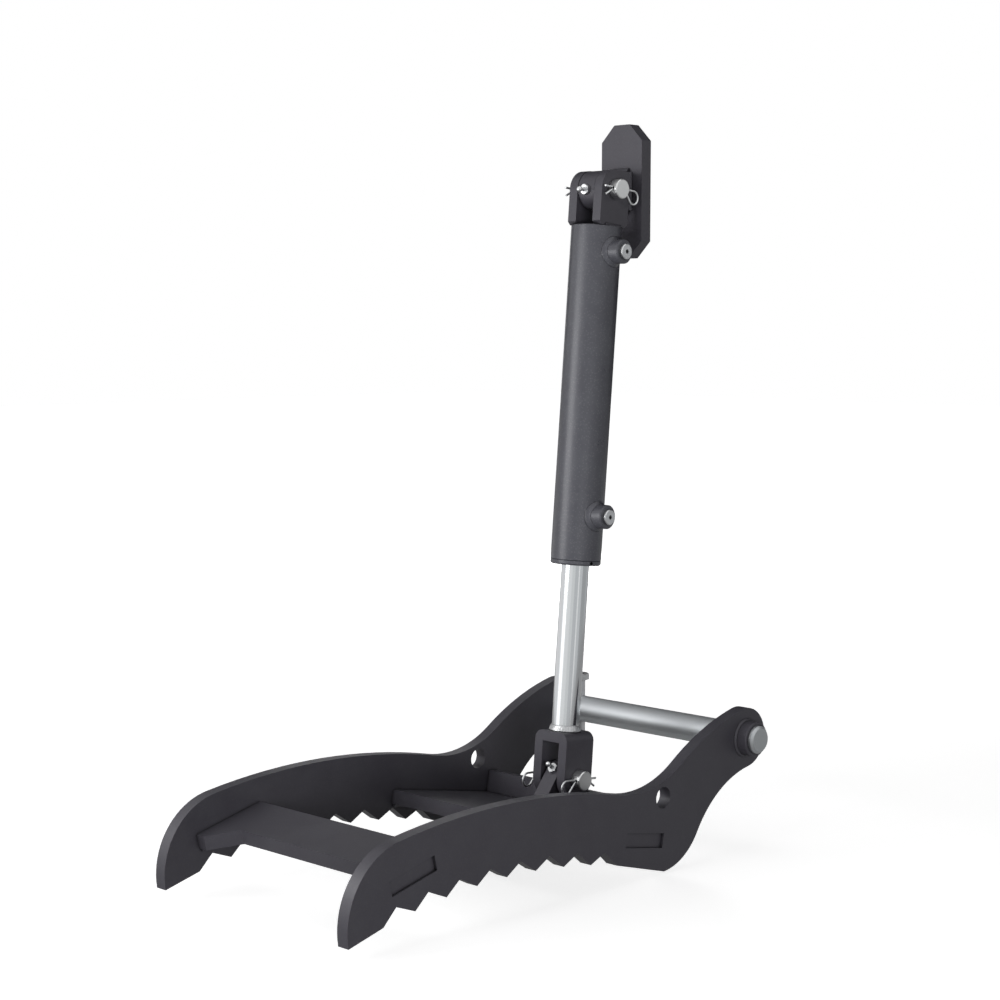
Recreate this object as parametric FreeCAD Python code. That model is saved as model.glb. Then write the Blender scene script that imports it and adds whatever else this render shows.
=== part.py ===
import FreeCAD, Part
import math
import os

Vector = FreeCAD.Vector
Placement = FreeCAD.Placement
Rotation = FreeCAD.Rotation

os.makedirs("parts", exist_ok=True)

# Weld-on hydraulic thumb for an excavator. Millimetres and degrees.
# The origin is on the main pin's axis, midway between the side plates.
# +X points rearwards, away from the tips; +Y to the far side plate; +Z up along the mounting plate.

# Clearances
running = 0.05
seat = 0.1
weld_gap = 0.2
cutter_overrun = 5.0

# Where the pins lie, seen from the side as x and z
rod_pin_x = -183.5
rod_pin_z = -57.8
base_pin_x = -110.4
base_pin_z = 785.2

# Pins and their cotters
main_pin_diameter = 40.0
main_pin_overhang = 7.5
main_pin_chamfer = 3.2
link_pin_diameter = 28.0
link_pin_overhang = 15.0
link_pin_chamfer = 1.2
cotter_wire = 3.0
cotter_setback = 7.5
cotter_straight_leg = 15.5
cotter_bent_leg = 15.0
cotter_bend = 32.0
cotter_eye = 9.5
cotter_eye_reach = 17.5
cotter_eye_sag = 8.5

# Cross bolt that locks the main pin in the machine's pivot tube
pivot_tube_diameter = 90.0
cross_bolt_diameter = 16.0
cross_bolt_length = 110.0
cross_bolt_inset = 39.0
bolt_head_height = 10.0
bolt_turn = 15.0
bolt_head_flats = 24.0
nut_height = 15.0

# Side plates
plate_gap = 344.0
plate_thickness = 19.0
back_radius = 1080.0
back_crown_x = -501.5
back_crown_z = -15.2
jaw_depth = 94.7
nose_radius = 100.0
nose_centre_x = -661.5
nose_tip_angle = 190.0
dip_radius = 163.0
dip_centre_x = -235.5
neck_radius = 400.0
knuckle_radius = 43.0
rear_radius = 166.0
heel_radius = 92.0
heel_offset_x = -3.8
heel_offset_z = -12.6
heel_corner_angle = -86.0
access_hole_diameter = 30.0

# Teeth along the inner edge, spaced along an arc that runs parallel to the back
tooth_count = 8
tooth_pitch = 53.5
tooth_depth = 16.7
tooth_valley_share = 0.46
first_tooth_x = -704.2

# Crosspieces, which pass through slots in the side plates
cross_thickness = 20.0
tenon_length = 77.0
tenon_recess = 4.0
front_slot_behind_nose = 7.1
front_slot_below_crown = 61.5
front_slot_angle = 14.0
front_shoulder = 16.0
front_rear_shoulder = 18.0
front_step = 36.0
front_step_width = 36.0
front_flat_width = 16.0
rear_slot_before_pin = 38.1
rear_slot_below_pin = 53.5
rear_slot_angle = -10.1
rear_shoulder = 100.0
rear_rear_shoulder = 41.0

# Upright bar and cylinder lug on the rear crosspiece
bar_height = 33.0
bar_thickness = 20.0
bar_standoff = 31.0
lug_thickness = 25.0
lug_head_radius = 22.5
lug_face_angle = 52.0

# Pivot bosses around the main pin
boss_diameter = 50.0
boss_length = 19.0
boss_weld = 2.5

# Clevis ends: the fork on the rod and the two ears on the barrel
fork_width = 62.0
fork_gap = 32.0
fork_depth = 57.0
fork_top = 67.0
fork_crown = 15.0
fork_corner_radius = 13.0
ear_seat = 52.2
ear_front_radius = 28.0
ear_rear_depth = 30.5
ear_rear_radius = 6.0
ear_foot_chamfer = 5.0

# Bushes and grease nipples
bush_wall = 4.0
bush_side_play = 1.0
nipple_hex = 14.0
nipple_hex_height = 5.0
nipple_height = 18.0
nipple_ball_diameter = 8.5
nipple_stem_diameter = 6.5

# Hydraulic cylinder, measured along its own axis
rod_diameter = 40.0
bore_diameter = 63.0
tube_wall = 5.0
stroke_out_share = 0.6514
stroke_spare = 7.0
cap_thickness = 7.0
cap_spigot = 18.0
gland_collar = 7.5
gland_depth = 55.0
gland_chamfer = 2.0
spanner_hole_diameter = 5.0
spanner_hole_depth = 5.0
spanner_turn = 9.0
closed_gap = 25.5
piston_length = 30.0
piston_nose_length = 14.0
piston_nose_wall = 6.0
piston_spigot_diameter = 30.0
piston_nut_height = 18.0
piston_nut_flats = 46.0
piston_end_play = 0.5
rod_weld_height = 9.0
rod_weld_width = 4.0

# Seals
seal_section = 5.0
seal_length = 8.0
wiper_length = 6.0
ring_section = 2.5
ring_length = 6.0

# Ports
port_boss_diameter = 34.5
port_boss_reach = 55.0
port_turn = -2.0
upper_port_setback = 3.5
lower_port_setback = 1.0
port_hole_diameter = 8.0
port_thread_diameter = 16.6
port_thread_depth = 14.0
plug_head_diameter = 22.0
plug_head_height = 4.5
plug_socket = 6.0
plug_socket_depth = 4.0

# Mounting plate, welded to the machine's stick
mount_width = 77.0
mount_height = 192.0
mount_thickness = 20.0
mount_corner = 24.0
mount_standoff = 48.7
mount_lug_radius = 27.5

# Worked out from the above
inner_face = plate_gap / 2
outer_face = inner_face + plate_thickness
main_pin_radius = main_pin_diameter / 2
link_pin_radius = link_pin_diameter / 2
rod_radius = rod_diameter / 2
bore_radius = bore_diameter / 2
tube_radius = bore_radius + tube_wall
ear_thickness = (fork_width - fork_gap) / 2
lean = math.degrees(math.atan2(base_pin_x - rod_pin_x, base_pin_z - rod_pin_z))
pin_to_pin = math.hypot(base_pin_x - rod_pin_x, base_pin_z - rod_pin_z)
cap_top = pin_to_pin - ear_seat
tube_top = cap_top - cap_thickness
piston_stack = piston_nose_length + piston_length + piston_nut_height
tube_fittings = gland_depth + piston_stack + stroke_spare + cap_spigot
closed_rod = fork_top + closed_gap + gland_collar
stroke = (tube_top - closed_rod - tube_fittings) / (1 + stroke_out_share)
tube_length = stroke + tube_fittings
tube_foot = tube_top - tube_length
gland_foot = tube_foot - gland_collar
gland_top = tube_foot + gland_depth
piston_foot = closed_rod + stroke + gland_depth + piston_end_play
piston_land = piston_foot + piston_nose_length
piston_top = piston_land + piston_length


def at(x, z, y=0.0):
    return Vector(x, y, z)


def polar(centre, radius, angle):
    turn = math.radians(angle)
    return centre + at(radius * math.cos(turn), radius * math.sin(turn))


def angle_of(centre, point):
    return math.degrees(math.atan2(point.z - centre.z, point.x - centre.x))


def meeting_point(centre_a, reach_a, centre_b, reach_b, side):
    """The point at two distances from two centres; side 1 is left of the way from a to b."""
    between = centre_b - centre_a
    span = between.Length
    along = (reach_a ** 2 - reach_b ** 2 + span ** 2) / (2 * span)
    across = math.sqrt(reach_a ** 2 - along ** 2)
    unit = between.normalize()
    return centre_a + unit * along + at(-unit.z, unit.x) * (across * side)


def tangent_point(centre, radius, outside, side):
    """Where a line from an outside point touches a circle."""
    span = (outside - centre).Length
    opening = math.degrees(math.acos(radius / span))
    return polar(centre, radius, angle_of(centre, outside) + side * opening)


class Outline:
    """A closed outline in the X-Z plane, drawn with lines and arcs from a starting point."""

    def __init__(self, start):
        self.start = start
        self.here = start
        self.edges = []

    def line(self, point):
        if (point - self.here).Length > 1e-6:
            self.edges.append(Part.makeLine(self.here, point))
        self.here = point
        return self

    def arc(self, centre, end, leftwards=True):
        radius = (self.here - centre).Length
        first = angle_of(centre, self.here)
        sweep = (angle_of(centre, end) - first) % 360.0
        if not leftwards:
            sweep -= 360.0
        middle = polar(centre, radius, first + sweep / 2)
        self.edges.append(Part.Arc(self.here, middle, end).toShape())
        self.here = end
        return self

    def solid(self, low_y, high_y):
        self.line(self.start)
        face = Part.Face(Part.Wire(self.edges))
        face.translate(Vector(0, low_y, 0))
        return face.extrude(Vector(0, high_y - low_y, 0))


def turned(profile):
    """A solid of revolution about Z from a closed profile of radius and height."""
    points = [Vector(radius, 0, height) for radius, height in profile]
    face = Part.Face(Part.makePolygon(points + points[:1]))
    return face.revolve(Vector(0, 0, 0), Vector(0, 0, 1), 360)


def rod_along_z(radius, foot, top, chamfer=0.0):
    if chamfer == 0.0:
        return Part.makeCylinder(radius, top - foot, Vector(0, 0, foot))
    return turned([(0, foot), (radius - chamfer, foot), (radius, foot + chamfer),
                   (radius, top - chamfer), (radius - chamfer, top), (0, top)])


def ring(inner, outer, foot, top):
    return turned([(inner, foot), (outer, foot), (outer, top), (inner, top)])


def hex_prism(flats, height, chamfer=0.0):
    corner = flats / math.sqrt(3)
    corners = [Vector(corner * math.cos(math.radians(60 * i)), corner * math.sin(math.radians(60 * i)), 0)
               for i in range(6)]
    prism = Part.Face(Part.makePolygon(corners + corners[:1])).extrude(Vector(0, 0, height))
    if chamfer == 0.0:
        return prism
    crown = turned([(0, 0), (corner, 0), (corner, height - chamfer), (flats / 2 - 0.3, height), (0, height)])
    return prism.common(crown)


def aimed(shape, origin, direction):
    """Moves a shape drawn along Z so that it starts at origin and points in a direction."""
    moved = shape.copy()
    moved.Placement = Placement(origin, Rotation(Vector(0, 0, 1), direction))
    return moved


def across(shape):
    """Turns a shape drawn along Z so that it runs along Y."""
    return aimed(shape, Vector(0, 0, 0), Vector(0, 1, 0))


rod_pin_axis = at(rod_pin_x, rod_pin_z)
base_pin_axis = at(base_pin_x, base_pin_z)
cylinder_place = Placement(rod_pin_axis, Rotation(Vector(0, 1, 0), lean))


def on_cylinder(shape):
    """Puts a shape drawn on the cylinder's own axis, from the rod pin upwards, into the part."""
    moved = shape.copy()
    moved.Placement = cylinder_place.multiply(moved.Placement)
    return moved


def save(name, shapes):
    shape = shapes[0] if len(shapes) == 1 else Part.makeCompound(shapes)
    shape.exportStep("parts/" + name + ".step")
    print(name, len(shape.Solids), "solids", round(shape.Volume / 1000, 1), "cm3", shape.isValid())


def slot_frame(centre_x, centre_z, angle):
    """Local frame of a crosspiece: x along the slot, z through the plate's thickness."""
    return Placement(at(centre_x, centre_z), Rotation(Vector(0, 1, 0), -angle))


front_frame = slot_frame(nose_centre_x + front_slot_behind_nose, back_crown_z - front_slot_below_crown,
                         front_slot_angle)
rear_frame = slot_frame(rod_pin_x - rear_slot_before_pin, rod_pin_z - rear_slot_below_pin,
                        rear_slot_angle)


def slot_cutter(frame):
    length = tenon_length + 2 * weld_gap
    height = cross_thickness + 2 * weld_gap
    width = 2 * (outer_face + cutter_overrun)
    box = Part.makeBox(length, width, height, Vector(-length / 2, -width / 2, -height / 2))
    box.Placement = frame
    return box


def side_plate_blank():
    """The toothed jaw plate, drawn once and used on both sides."""
    back = at(back_crown_x, back_crown_z - back_radius)
    knuckle = at(0, 0)
    nose_rise = math.sqrt((back_radius - nose_radius) ** 2 - (nose_centre_x - back.x) ** 2)
    nose = at(nose_centre_x, back.z + nose_rise)
    dip_rise = math.sqrt((back_radius + dip_radius) ** 2 - (dip_centre_x - back.x) ** 2)
    dip = at(dip_centre_x, back.z + dip_rise)
    heel = rod_pin_axis + at(heel_offset_x, heel_offset_z)
    rear = meeting_point(knuckle, knuckle_radius + rear_radius, heel, heel_radius + rear_radius, 1)
    neck = meeting_point(knuckle, neck_radius - knuckle_radius, dip, neck_radius + dip_radius, 1)

    tip_radius = back_radius - jaw_depth
    first_tooth = math.degrees(math.acos((first_tooth_x - back.x) / tip_radius))
    pitch_angle = math.degrees(tooth_pitch / tip_radius)
    outline = Outline(polar(nose, nose_radius, nose_tip_angle))
    for tooth in range(tooth_count + 1):
        tip = first_tooth - tooth * pitch_angle
        outline.line(polar(back, tip_radius, tip))
        if tooth < tooth_count:
            valley = tip - tooth_valley_share * pitch_angle
            outline.line(polar(back, tip_radius + tooth_depth, valley))
    outline.line(polar(heel, heel_radius, heel_corner_angle))
    outline.arc(heel, polar(heel, heel_radius, angle_of(heel, rear)))
    outline.arc(rear, polar(knuckle, knuckle_radius, angle_of(knuckle, rear)), leftwards=False)
    outline.arc(knuckle, polar(knuckle, knuckle_radius, angle_of(neck, knuckle)))
    outline.arc(neck, polar(neck, neck_radius, angle_of(neck, dip)))
    outline.arc(dip, polar(back, back_radius, angle_of(back, dip)), leftwards=False)
    outline.arc(back, polar(nose, nose_radius, angle_of(back, nose)))
    outline.arc(nose, outline.start)
    return outline.solid(inner_face, outer_face)


def side_plate(side):
    plate = side_plate_blank()
    bore = across(rod_along_z(main_pin_radius + running, 0, 2 * outer_face))
    access = across(rod_along_z(access_hole_diameter / 2, 0, 2 * outer_face))
    access.translate(rod_pin_axis)
    plate = plate.cut(bore).cut(access)
    plate = plate.cut(slot_cutter(front_frame)).cut(slot_cutter(rear_frame))
    return plate if side > 0 else plate.mirror(Vector(0, 0, 0), Vector(0, 1, 0))


def crosspiece(half_outline, frame):
    """A plate with a tenon at each end; half_outline gives the +Y half, front edge first."""
    reach = outer_face - tenon_recess
    half = tenon_length / 2
    front, rear = half_outline[0], half_outline[-1]
    side = [(front[0], front[1])] + half_outline[1:-1] + [(rear[0], rear[1])]
    corners = side[:-1] + [(-half, inner_face), (-half, reach), (half, reach), (half, inner_face)] + side[-1:]
    mirrored = [(x, -y) for x, y in reversed(corners)]
    points = [Vector(x, y, -cross_thickness / 2) for x, y in corners + mirrored]
    plate = Part.Face(Part.makePolygon(points + points[:1])).extrude(Vector(0, 0, cross_thickness))
    plate.Placement = frame
    return plate


def front_crosspiece():
    half = tenon_length / 2
    shoulder = -half - front_shoulder
    stepped = shoulder + front_step
    corner = inner_face - front_flat_width
    outline = [(stepped, corner - front_step_width), (shoulder, corner), (shoulder, inner_face),
               (half + front_rear_shoulder, inner_face)]
    return crosspiece(outline, front_frame)


def rear_crosspiece():
    half = tenon_length / 2
    return crosspiece([(-half - rear_shoulder, inner_face), (half + rear_rear_shoulder, inner_face)], rear_frame)


# The rod pin seen in the rear crosspiece's own frame sets where the bar and the lug stand
rod_pin_on_cross = rear_frame.inverse().multVec(rod_pin_axis)
bar_height_below_pin = rod_pin_on_cross.z - cross_thickness / 2 - bar_height
bar_front = rod_pin_on_cross.x + math.sqrt(bar_standoff ** 2 - bar_height_below_pin ** 2)


def upright_bar():
    bar = Part.makeBox(bar_thickness, plate_gap, bar_height,
                       Vector(bar_front, -inner_face, cross_thickness / 2))
    bar.Placement = rear_frame
    return bar


def lug():
    """A-shaped lug on the rear crosspiece, drawn in the crosspiece's frame, with a bush seat."""
    pin = rod_pin_on_cross
    top = cross_thickness / 2
    slope = lug_face_angle - rear_slot_angle
    touch = polar(pin, lug_head_radius, 90 + slope)
    foot_x = touch.x - (touch.z - top) / math.tan(math.radians(slope))
    bar_corner = at(bar_front, top + bar_height)
    rear_touch = tangent_point(pin, lug_head_radius, bar_corner, 1)
    outline = Outline(at(foot_x, top))
    outline.line(at(bar_front, top)).line(bar_corner).line(rear_touch)
    outline.arc(pin, touch)
    body = outline.solid(-lug_thickness / 2, lug_thickness / 2)
    body.Placement = rear_frame
    return body.cut(bush_seat(rod_pin_axis))


def bush_seat(axis):
    seat_hole = across(rod_along_z(link_pin_radius + bush_wall, -fork_width, fork_width))
    seat_hole.translate(axis)
    return seat_hole


def bush(axis):
    half = fork_gap / 2 - bush_side_play
    body = across(ring(link_pin_radius + running, link_pin_radius + bush_wall, -half, half))
    body.translate(axis)
    return body


def nipple(axis, direction, seat_distance):
    """Hexagon, stem and ball of a grease nipple that points away from a pin."""
    ball = nipple_ball_diameter / 2
    stem = nipple_stem_diameter / 2
    neck = nipple_height - 2 * ball + 0.8
    body = hex_prism(nipple_hex, nipple_hex_height, 0.8)
    body = body.fuse(turned([(0, nipple_hex_height), (stem, nipple_hex_height), (stem - 1.0, neck), (0, neck)]))
    body = body.fuse(Part.makeSphere(ball, Vector(0, 0, nipple_height - ball)))
    return aimed(body, axis + direction * seat_distance, direction)


def main_pin():
    half = outer_face + boss_length + main_pin_overhang
    pin = across(rod_along_z(main_pin_radius, -half, half, main_pin_chamfer))
    hole = rod_along_z(cross_bolt_diameter / 2 + weld_gap, -main_pin_diameter, main_pin_diameter)
    hole.translate(Vector(0, inner_face - cross_bolt_inset, 0))
    return pin.cut(hole)


def cross_bolt():
    head_seat = pivot_tube_diameter / 2
    shank = rod_along_z(cross_bolt_diameter / 2, head_seat - cross_bolt_length, head_seat, 1.0)
    head = hex_prism(bolt_head_flats, bolt_head_height, 1.2)
    head.rotate(Vector(0, 0, 0), Vector(0, 0, 1), bolt_turn)
    head.translate(Vector(0, 0, head_seat))
    bolt = shank.fuse(head)
    bolt.translate(Vector(0, inner_face - cross_bolt_inset, 0))
    return bolt


def cross_nut():
    body = hex_prism(bolt_head_flats, nut_height, 1.2)
    body = body.cut(rod_along_z(cross_bolt_diameter / 2, -1, nut_height + 1))
    return aimed(body, Vector(0, inner_face - cross_bolt_inset, -pivot_tube_diameter / 2), Vector(0, 0, -1))


def pivot_boss(side):
    """Collar round the main pin outside each plate, with its fillet weld."""
    inner = main_pin_radius + running
    outer = boss_diameter / 2
    body = turned([(inner, 0), (outer + boss_weld, 0), (outer, boss_weld), (outer, boss_length - 1),
                   (outer - 1, boss_length), (inner, boss_length)])
    return aimed(body, Vector(0, side * outer_face, 0), Vector(0, side, 0))


def link_pin():
    half = fork_width / 2 + link_pin_overhang
    pin = across(rod_along_z(link_pin_radius, -half, half, link_pin_chamfer))
    for side in (-1, 1):
        hole = across(rod_along_z(cotter_wire + 2 * seat, -link_pin_diameter, link_pin_diameter))
        hole.rotate(Vector(0, 0, 0), Vector(0, 0, 1), 90)
        hole.translate(Vector(0, side * (half - cotter_setback), 0))
        pin = pin.cut(hole)
    return pin


def cotter(side, pointing):
    """Split pin: two strands through the pin, one straight and one bent leg, and a sagging eye.

    pointing is 1 where the eye is rearwards and -1 where it is forwards."""
    surface = link_pin_radius
    strand = cotter_wire / 2 + seat / 2
    bend = math.radians(cotter_bend)
    bent_end = at(-surface - cotter_bent_leg * math.cos(bend), -strand - cotter_bent_leg * math.sin(bend))
    eye_centre = at(surface + cotter_eye_reach, -cotter_eye_sag)
    eye_from = tangent_point(eye_centre, cotter_eye, at(surface, strand), -1)
    eye_to = tangent_point(eye_centre, cotter_eye, at(surface, -strand), 1)
    path = Outline(at(-surface - cotter_straight_leg, strand))
    path.line(at(surface, strand)).line(eye_from)
    path.arc(eye_centre, eye_to, leftwards=False)
    path.line(at(surface, -strand)).line(at(-surface, -strand)).line(bent_end)
    wire = Part.Wire(path.edges)
    section = Part.Wire(Part.makeCircle(cotter_wire / 2, path.start, path.edges[0].tangentAt(0)))
    body = wire.makePipeShell([section], True, False, 1)
    if pointing < 0:
        body.rotate(Vector(0, 0, 0), Vector(0, 0, 1), 180)
    body.translate(Vector(0, side * (fork_width / 2 + link_pin_overhang - cotter_setback), 0))
    return body


def rod_fork():
    """U-shaped clevis: round ends about the pin, crown welded to the rod."""
    half_depth = fork_depth / 2
    side_view = Outline(at(-half_depth, 0))
    side_view.arc(at(0, 0), at(half_depth, 0))
    side_view.line(at(half_depth, fork_top)).line(at(-half_depth, fork_top))
    body = side_view.solid(-fork_width / 2, fork_width / 2)
    corners = [edge for edge in body.Edges
               if abs(edge.BoundBox.ZLength) < 1e-6 and abs(edge.BoundBox.YLength) < 1e-6
               and edge.CenterOfMass.z > fork_top - 1 and abs(edge.CenterOfMass.y) > fork_gap / 2]
    body = body.makeFillet(fork_corner_radius, corners)
    mouth = fork_top - fork_crown
    gap = Part.makeBox(fork_depth + 2, fork_gap, mouth + half_depth + 2,
                       Vector(-half_depth - 1, -fork_gap / 2, -half_depth - 2))
    hole = across(rod_along_z(link_pin_radius + seat, -fork_width, fork_width))
    return body.cut(gap).cut(hole)


def ear():
    """One ear on the barrel's cap, drawn about the base pin's axis."""
    front = -ear_front_radius
    rear = ear_rear_depth
    top = ear_front_radius
    chamfer = ear_foot_chamfer
    outline = Outline(at(front, 0))
    outline.line(at(front, -ear_seat + chamfer)).line(at(front + chamfer, -ear_seat))
    outline.line(at(rear - chamfer, -ear_seat)).line(at(rear, -ear_seat + chamfer))
    outline.line(at(rear, top - ear_rear_radius))
    outline.arc(at(rear - ear_rear_radius, top - ear_rear_radius), at(rear - ear_rear_radius, top))
    outline.line(at(0, top))
    outline.arc(at(0, 0), at(front, 0))
    body = outline.solid(fork_gap / 2, fork_width / 2)
    return body.cut(across(rod_along_z(link_pin_radius + seat, -fork_width, fork_width)))


def piston_rod():
    spigot = piston_spigot_diameter / 2
    end = piston_top + piston_nut_height + 1.0
    return turned([(0, fork_top), (rod_radius, fork_top), (rod_radius, piston_foot - 2),
                   (rod_radius - 2, piston_foot), (spigot, piston_foot), (spigot, end - 1.5),
                   (spigot - 1.5, end), (0, end)])


def rod_weld():
    """Bead that joins the rod to the fork, wider at its foot."""
    inner = rod_radius
    return turned([(inner, fork_top), (inner + rod_weld_width, fork_top),
                   (inner + rod_weld_width, fork_top + 1.5),
                   (inner + 0.45 * rod_weld_width, fork_top + 0.45 * rod_weld_height),
                   (inner, fork_top + rod_weld_height)])


def groove_ring(inner, outer, middle, length):
    return ring(inner, outer, middle - length / 2, middle + length / 2)


# Seal places along the piston and the gland, each as a middle height
piston_middle = piston_land + piston_length / 2
wear_ring_middles = [piston_land + ring_length, piston_top - ring_length]
rod_seal_middle = tube_foot + gland_depth * 0.55
wiper_middle = gland_foot + wiper_length / 2 + 0.5
gland_ring_middle = tube_foot + gland_depth * 0.8


def piston():
    outer = bore_radius - 2 * seat
    inner = piston_spigot_diameter / 2 + running
    nose = rod_radius + piston_nose_wall
    body = turned([(inner, piston_foot), (nose, piston_foot), (nose, piston_land), (outer, piston_land),
                   (outer, piston_top), (inner, piston_top)])
    body = body.cut(groove_ring(outer - seal_section, bore_radius, piston_middle, seal_length + 2 * seat))
    for middle in wear_ring_middles:
        body = body.cut(groove_ring(outer - ring_section, bore_radius, middle, ring_length + 2 * seat))
    return body


def piston_seal():
    return groove_ring(bore_radius - seal_section, bore_radius - running, piston_middle, seal_length)


def wear_rings():
    return [groove_ring(bore_radius - ring_section, bore_radius - running, middle, ring_length)
            for middle in wear_ring_middles]


def piston_nut():
    body = hex_prism(piston_nut_flats, piston_nut_height, 1.5)
    body = body.cut(rod_along_z(piston_spigot_diameter / 2 + running, -1, piston_nut_height + 1))
    body.translate(Vector(0, 0, piston_top))
    return body


def around_cylinder(turn):
    """Direction square to the cylinder's axis, turned forwards from the near side."""
    return Vector(-math.sin(math.radians(turn)), -math.cos(math.radians(turn)), 0)


def gland():
    """Head that guides the rod: a collar under the tube and a spigot inside it."""
    inner = rod_radius + running
    spigot = bore_radius - seat
    body = turned([(inner, gland_foot), (tube_radius - gland_chamfer, gland_foot),
                   (tube_radius, gland_foot + gland_chamfer), (tube_radius, tube_foot - 1.2),
                   (tube_radius - 1.2, tube_foot), (spigot, tube_foot), (spigot, gland_top), (inner, gland_top)])
    body = body.cut(groove_ring(rod_radius - 1, rod_radius + seal_section + seat, rod_seal_middle,
                                seal_length + 2 * seat))
    body = body.cut(ring(rod_radius - 1, rod_radius + seal_section + seat, gland_foot - 1,
                         wiper_middle + wiper_length / 2 + seat))
    for turn in (spanner_turn, spanner_turn + 180):
        hole = rod_along_z(spanner_hole_diameter / 2, tube_radius - spanner_hole_depth, tube_radius + 1)
        hole = aimed(hole, Vector(0, 0, gland_foot + gland_collar / 2), around_cylinder(turn))
        body = body.cut(hole)
    return body.cut(groove_ring(spigot - ring_section, bore_radius + 1, gland_ring_middle,
                                ring_length + 2 * seat))


def rod_seal():
    return groove_ring(rod_radius + running, rod_radius + seal_section, rod_seal_middle, seal_length)


def wiper():
    inner = rod_radius + running
    outer = rod_radius + seal_section
    foot = wiper_middle - wiper_length / 2
    return turned([(inner, foot), (inner + 1.2, foot), (inner + 2.2, foot + 1.5), (outer, foot + 1.5),
                   (outer, foot + wiper_length), (inner, foot + wiper_length)])


def gland_ring():
    return groove_ring(bore_radius - seat - ring_section + seat, bore_radius - seat / 2, gland_ring_middle,
                       ring_length)


port_direction = around_cylinder(port_turn)
upper_port_height = tube_top - cap_spigot - port_thread_diameter / 2 - upper_port_setback
lower_port_height = gland_top + port_thread_diameter / 2 + lower_port_setback


def port_hole(height, radius, start, end):
    hole = rod_along_z(radius, start, end)
    return aimed(hole, Vector(0, 0, height), port_direction)


def barrel_tube():
    tube = ring(bore_radius, tube_radius, tube_foot, tube_top)
    for height in (lower_port_height, upper_port_height):
        tube = tube.cut(port_hole(height, port_hole_diameter / 2, 0, port_boss_reach))
    return tube


def base_cap():
    spigot = bore_radius - seat
    foot = tube_top - cap_spigot
    return turned([(0, foot), (spigot, foot), (spigot, tube_top), (tube_radius, tube_top),
                   (tube_radius, cap_top - 1), (tube_radius - 1, cap_top), (0, cap_top)])


def port_boss(height):
    outer = port_boss_diameter / 2
    blank = turned([(0, 0), (outer, 0), (outer, port_boss_reach - 1.5), (outer - 1.5, port_boss_reach),
                    (0, port_boss_reach)])
    blank = aimed(blank, Vector(0, 0, height), port_direction)
    saddle = rod_along_z(tube_radius, height - port_boss_diameter, height + port_boss_diameter)
    blank = blank.cut(saddle)
    blank = blank.cut(port_hole(height, port_hole_diameter / 2, 0, port_boss_reach + 1))
    thread_start = port_boss_reach - port_thread_depth
    return blank.cut(port_hole(height, port_thread_diameter / 2, thread_start, port_boss_reach + 1))


def port_plug(height):
    shank = port_thread_diameter / 2 - seat
    head = plug_head_diameter / 2
    depth = port_thread_depth - 2
    body = turned([(0, -depth), (shank - 1, -depth), (shank, -depth + 1), (shank, 0), (head, 0),
                   (head, plug_head_height - 1), (head - 1, plug_head_height), (0, plug_head_height)])
    socket = hex_prism(plug_socket, plug_socket_depth + 1)
    socket.translate(Vector(0, 0, plug_head_height - plug_socket_depth))
    body = body.cut(socket)
    return aimed(body, Vector(0, 0, height) + port_direction * port_boss_reach, port_direction)


def mounting_plate():
    """Long octagon that is welded to the stick; its face looks forwards at the cylinder."""
    half_y = mount_width / 2
    half_z = mount_height / 2
    corner = mount_corner
    face_x = base_pin_x + mount_standoff
    corners = [(half_y - corner, half_z), (half_y, half_z - corner), (half_y, corner - half_z),
               (half_y - corner, -half_z)]
    corners += [(-y, z) for y, z in reversed(corners)]
    points = [Vector(face_x, y, base_pin_z + z) for y, z in corners]
    return Part.Face(Part.makePolygon(points + points[:1])).extrude(Vector(mount_thickness, 0, 0))


def mounting_lug():
    radius = mount_lug_radius
    half = fork_gap / 2 - bush_side_play
    outline = Outline(at(mount_standoff, -radius))
    outline.line(at(mount_standoff, radius)).line(at(0, radius))
    outline.arc(at(0, 0), at(0, -radius))
    body = outline.solid(-half, half)
    body.translate(base_pin_axis)
    return body.cut(bush_seat(base_pin_axis))


def on_base_pin(shape):
    moved = shape.copy()
    moved.translate(Vector(0, 0, pin_to_pin))
    return on_cylinder(moved)


slope_turn = math.radians(90 + lug_face_angle)
lug_nipple_direction = Vector(math.cos(slope_turn), 0, math.sin(slope_turn))

# Root: the main pin, locked by its cross bolt in the machine's pivot tube
save("main_pin", [main_pin()])
save("cross_bolt", [cross_bolt()])
save("cross_nut", [cross_nut()])

# Thumb weldment
save("side_plate_near", [side_plate(-1)])
save("side_plate_far", [side_plate(1)])
save("front_crosspiece", [front_crosspiece()])
save("rear_crosspiece", [rear_crosspiece()])
save("upright_bar", [upright_bar()])
save("thumb_lug", [lug()])
save("thumb_lug_bush", [bush(rod_pin_axis)])
save("thumb_lug_nipple", [nipple(rod_pin_axis, lug_nipple_direction, lug_head_radius)])
save("pivot_boss_near", [pivot_boss(-1)])
save("pivot_boss_far", [pivot_boss(1)])

# Rod assembly
save("rod_fork", [on_cylinder(rod_fork())])
save("piston_rod", [on_cylinder(piston_rod())])
save("rod_weld", [on_cylinder(rod_weld())])
save("piston", [on_cylinder(piston())])
save("piston_seal", [on_cylinder(piston_seal())])
save("piston_wear_rings", [on_cylinder(each) for each in wear_rings()])
save("piston_nut", [on_cylinder(piston_nut())])
save("rod_pin", [on_cylinder(link_pin())])
save("rod_pin_cotters", [on_cylinder(cotter(side, -1)) for side in (-1, 1)])

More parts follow.
